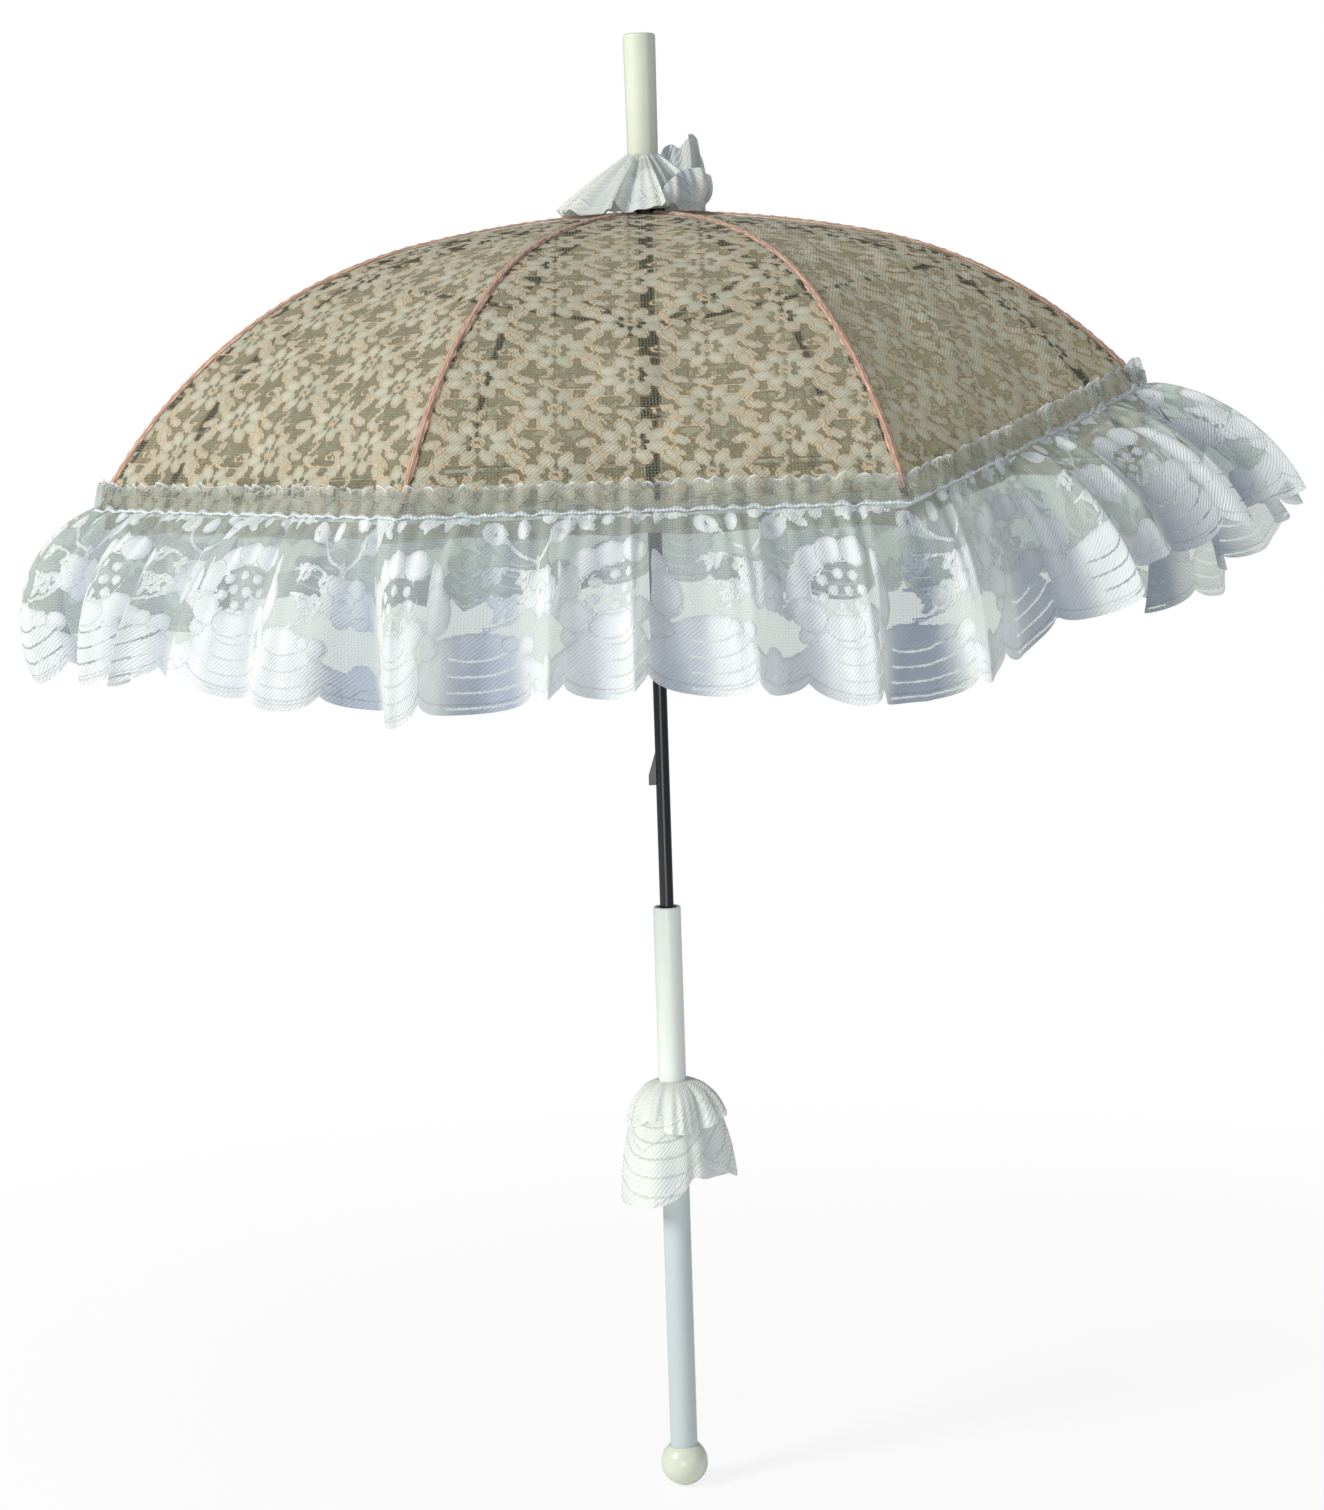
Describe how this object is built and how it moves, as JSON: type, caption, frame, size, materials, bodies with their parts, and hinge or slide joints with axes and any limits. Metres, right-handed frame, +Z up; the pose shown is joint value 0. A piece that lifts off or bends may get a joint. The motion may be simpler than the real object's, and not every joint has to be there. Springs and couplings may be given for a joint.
{
  "type": "lace parasol",
  "caption": "Folding lace parasol with a domed net canopy on curved ribs, a gathered lace rim, a slim two-catch shaft and a straight tube handle ending in a ball.",
  "frame": {"origin": "lowest point of the handle's ball, on the shaft's axis", "axes": "+Z up the shaft to the ferrule; +X and +Y each point between two ribs, and the catches face -X"},
  "size_m": [0.6056, 0.6056, 0.76],
  "materials": {
    "black_enamel": "gloss black enamel on steel",
    "ivory_plastic": "polished ivory-white moulded plastic",
    "black_plastic": "satin black moulded plastic",
    "white_cap": "satin white moulded plastic",
    "bright_steel": "nickel-plated steel wire",
    "ecru_lace": "ecru floral net lace with peach outline thread",
    "white_lace": "white floral net lace"
  },
  "bodies": {
    "shaft": {"shaft_tube": "black_enamel", "ferrule": "ivory_plastic", "crown_hub": "black_plastic", "crown_wire": "bright_steel", "crown_cap": "white_cap", "crown_ruffle": "white_lace", "handle_tube": "ivory_plastic", "handle_bush": "black_plastic", "handle_ball": "ivory_plastic", "handle_ruffle": "white_lace"},
    "runner": {"runner_sleeve": "black_plastic", "runner_wire": "bright_steel"},
    "top_catch": {"top_catch": "bright_steel"},
    "bottom_catch": {"bottom_catch": "bright_steel"},
    "rib_1": {"rib_1": "black_enamel", "rib_fittings_1": "bright_steel", "canopy_panel_1": "ecru_lace"},
    "stretcher_1": {"stretcher_1": "black_enamel"},
    "rim_1": {"rim_ruffle_1": "white_lace"},
    "rib_2": {"rib_2": "black_enamel", "rib_fittings_2": "bright_steel", "canopy_panel_2": "ecru_lace"},
    "stretcher_2": {"stretcher_2": "black_enamel"},
    "rim_2": {"rim_ruffle_2": "white_lace"},
    "rib_3": {"rib_3": "black_enamel", "rib_fittings_3": "bright_steel", "canopy_panel_3": "ecru_lace"},
    "stretcher_3": {"stretcher_3": "black_enamel"},
    "rim_3": {"rim_ruffle_3": "white_lace"},
    "rib_4": {"rib_4": "black_enamel", "rib_fittings_4": "bright_steel", "canopy_panel_4": "ecru_lace"},
    "stretcher_4": {"stretcher_4": "black_enamel"},
    "rim_4": {"rim_ruffle_4": "white_lace"},
    "rib_5": {"rib_5": "black_enamel", "rib_fittings_5": "bright_steel", "canopy_panel_5": "ecru_lace"},
    "stretcher_5": {"stretcher_5": "black_enamel"},
    "rim_5": {"rim_ruffle_5": "white_lace"},
    "rib_6": {"rib_6": "black_enamel", "rib_fittings_6": "bright_steel", "canopy_panel_6": "ecru_lace"},
    "stretcher_6": {"stretcher_6": "black_enamel"},
    "rim_6": {"rim_ruffle_6": "white_lace"},
    "rib_7": {"rib_7": "black_enamel", "rib_fittings_7": "bright_steel", "canopy_panel_7": "ecru_lace"},
    "stretcher_7": {"stretcher_7": "black_enamel"},
    "rim_7": {"rim_ruffle_7": "white_lace"},
    "rib_8": {"rib_8": "black_enamel", "rib_fittings_8": "bright_steel", "canopy_panel_8": "ecru_lace"},
    "stretcher_8": {"stretcher_8": "black_enamel"},
    "rim_8": {"rim_ruffle_8": "white_lace"}
  },
  "joints": [
    {"name": "fold_1", "type": "hinge", "parent": "shaft", "child": "rib_1", "pos_m": [0.00739, 0.00306, 0.668], "axis": [-0.3827, 0.9239, 0], "range_deg": [0, 62.4], "deforming": ["canopy_panel_1", "rim_ruffle_1", "top_catch", "bottom_catch"]},
    {"name": "strut_1", "type": "hinge", "parent": "rib_1", "child": "stretcher_1", "pos_m": [0.14724, 0.06099, 0.64063], "axis": [-0.3827, 0.9239, 0], "range_deg": [-124.8, 0]},
    {"name": "hem_1", "type": "hinge", "parent": "rib_1", "child": "rim_1", "pos_m": [0.24411, 0.10111, 0.54093], "axis": [-0.3827, 0.9239, 0], "range_deg": [-37.94, 0]},
    {"name": "fold_2", "type": "hinge", "parent": "shaft", "child": "rib_2", "pos_m": [0.00306, 0.00739, 0.668], "axis": [-0.9239, 0.3827, 0], "range_deg": [0, 62.4], "deforming": ["canopy_panel_2", "rim_ruffle_2"]},
    {"name": "strut_2", "type": "hinge", "parent": "rib_2", "child": "stretcher_2", "pos_m": [0.06099, 0.14724, 0.64063], "axis": [-0.9239, 0.3827, 0], "range_deg": [-124.8, 0]},
    {"name": "hem_2", "type": "hinge", "parent": "rib_2", "child": "rim_2", "pos_m": [0.10111, 0.24411, 0.54093], "axis": [-0.9239, 0.3827, 0], "range_deg": [-37.94, 0]},
    {"name": "fold_3", "type": "hinge", "parent": "shaft", "child": "rib_3", "pos_m": [-0.00306, 0.00739, 0.668], "axis": [-0.9239, -0.3827, 0], "range_deg": [0, 62.4], "deforming": ["canopy_panel_3", "rim_ruffle_3"]},
    {"name": "strut_3", "type": "hinge", "parent": "rib_3", "child": "stretcher_3", "pos_m": [-0.06099, 0.14724, 0.64063], "axis": [-0.9239, -0.3827, 0], "range_deg": [-124.8, 0]},
    {"name": "hem_3", "type": "hinge", "parent": "rib_3", "child": "rim_3", "pos_m": [-0.10111, 0.24411, 0.54093], "axis": [-0.9239, -0.3827, 0], "range_deg": [-37.94, 0]},
    {"name": "fold_4", "type": "hinge", "parent": "shaft", "child": "rib_4", "pos_m": [-0.00739, 0.00306, 0.668], "axis": [-0.3827, -0.9239, 0], "range_deg": [0, 62.4], "deforming": ["canopy_panel_4", "rim_ruffle_4"]},
    {"name": "strut_4", "type": "hinge", "parent": "rib_4", "child": "stretcher_4", "pos_m": [-0.14724, 0.06099, 0.64063], "axis": [-0.3827, -0.9239, 0], "range_deg": [-124.8, 0]},
    {"name": "hem_4", "type": "hinge", "parent": "rib_4", "child": "rim_4", "pos_m": [-0.24411, 0.10111, 0.54093], "axis": [-0.3827, -0.9239, 0], "range_deg": [-37.94, 0]},
    {"name": "fold_5", "type": "hinge", "parent": "shaft", "child": "rib_5", "pos_m": [-0.00739, -0.00306, 0.668], "axis": [0.3827, -0.9239, 0], "range_deg": [0, 62.4], "deforming": ["canopy_panel_5", "rim_ruffle_5"]},
    {"name": "strut_5", "type": "hinge", "parent": "rib_5", "child": "stretcher_5", "pos_m": [-0.14724, -0.06099, 0.64063], "axis": [0.3827, -0.9239, 0], "range_deg": [-124.8, 0]},
    {"name": "hem_5", "type": "hinge", "parent": "rib_5", "child": "rim_5", "pos_m": [-0.24411, -0.10111, 0.54093], "axis": [0.3827, -0.9239, 0], "range_deg": [-37.94, 0]},
    {"name": "fold_6", "type": "hinge", "parent": "shaft", "child": "rib_6", "pos_m": [-0.00306, -0.00739, 0.668], "axis": [0.9239, -0.3827, 0], "range_deg": [0, 62.4], "deforming": ["canopy_panel_6", "rim_ruffle_6"]},
    {"name": "strut_6", "type": "hinge", "parent": "rib_6", "child": "stretcher_6", "pos_m": [-0.06099, -0.14724, 0.64063], "axis": [0.9239, -0.3827, 0], "range_deg": [-124.8, 0]},
    {"name": "hem_6", "type": "hinge", "parent": "rib_6", "child": "rim_6", "pos_m": [-0.10111, -0.24411, 0.54093], "axis": [0.9239, -0.3827, 0], "range_deg": [-37.94, 0]},
    {"name": "fold_7", "type": "hinge", "parent": "shaft", "child": "rib_7", "pos_m": [0.00306, -0.00739, 0.668], "axis": [0.9239, 0.3827, 0], "range_deg": [0, 62.4], "deforming": ["canopy_panel_7", "rim_ruffle_7"]},
    {"name": "strut_7", "type": "hinge", "parent": "rib_7", "child": "stretcher_7", "pos_m": [0.06099, -0.14724, 0.64063], "axis": [0.9239, 0.3827, 0], "range_deg": [-124.8, 0]},
    {"name": "hem_7", "type": "hinge", "parent": "rib_7", "child": "rim_7", "pos_m": [0.10111, -0.24411, 0.54093], "axis": [0.9239, 0.3827, 0], "range_deg": [-37.94, 0]},
    {"name": "fold_8", "type": "hinge", "parent": "shaft", "child": "rib_8", "pos_m": [0.00739, -0.00306, 0.668], "axis": [0.3827, 0.9239, 0], "range_deg": [0, 62.4], "deforming": ["canopy_panel_8", "rim_ruffle_8"]},
    {"name": "strut_8", "type": "hinge", "parent": "rib_8", "child": "stretcher_8", "pos_m": [0.14724, -0.06099, 0.64063], "axis": [0.3827, 0.9239, 0], "range_deg": [-124.8, 0]},
    {"name": "hem_8", "type": "hinge", "parent": "rib_8", "child": "rim_8", "pos_m": [0.21842, -0.09047, 0.57798], "axis": [0.3827, 0.9239, 0], "range_deg": [-17.85, 0]},
    {"name": "runner_slide", "type": "hinge", "parent": "stretcher_1", "child": "runner", "pos_m": [0.00739, 0.00306, 0.61327], "axis": [-0.3827, 0.9239, 0], "range_deg": [0, 62.4]},
    {"name": "top_catch_press", "type": "slide", "parent": "shaft", "child": "top_catch", "axis": [1, 0, 0], "range_m": [0, 0.0036], "stiffness_N_per_m": 300},
    {"name": "bottom_catch_press", "type": "slide", "parent": "shaft", "child": "bottom_catch", "axis": [1, 0, 0], "range_m": [0, 0.0036], "stiffness_N_per_m": 300}
  ],
  "couplings": [
    {"joint": "strut_1", "follows": "fold_1", "ratio": -2},
    {"joint": "hem_1", "follows": "fold_1", "ratio": -0.608},
    {"joint": "fold_2", "follows": "fold_1", "ratio": 1},
    {"joint": "strut_2", "follows": "fold_1", "ratio": -2},
    {"joint": "hem_2", "follows": "fold_1", "ratio": -0.608},
    {"joint": "fold_3", "follows": "fold_1", "ratio": 1},
    {"joint": "strut_3", "follows": "fold_1", "ratio": -2},
    {"joint": "hem_3", "follows": "fold_1", "ratio": -0.608},
    {"joint": "fold_4", "follows": "fold_1", "ratio": 1},
    {"joint": "strut_4", "follows": "fold_1", "ratio": -2},
    {"joint": "hem_4", "follows": "fold_1", "ratio": -0.608},
    {"joint": "fold_5", "follows": "fold_1", "ratio": 1},
    {"joint": "strut_5", "follows": "fold_1", "ratio": -2},
    {"joint": "hem_5", "follows": "fold_1", "ratio": -0.608},
    {"joint": "fold_6", "follows": "fold_1", "ratio": 1},
    {"joint": "strut_6", "follows": "fold_1", "ratio": -2},
    {"joint": "hem_6", "follows": "fold_1", "ratio": -0.608},
    {"joint": "fold_7", "follows": "fold_1", "ratio": 1},
    {"joint": "strut_7", "follows": "fold_1", "ratio": -2},
    {"joint": "hem_7", "follows": "fold_1", "ratio": -0.608},
    {"joint": "fold_8", "follows": "fold_1", "ratio": 1},
    {"joint": "strut_8", "follows": "fold_1", "ratio": -2},
    {"joint": "hem_8", "follows": "fold_1", "ratio": -0.286},
    {"joint": "runner_slide", "follows": "fold_1", "ratio": 1}
  ]
}
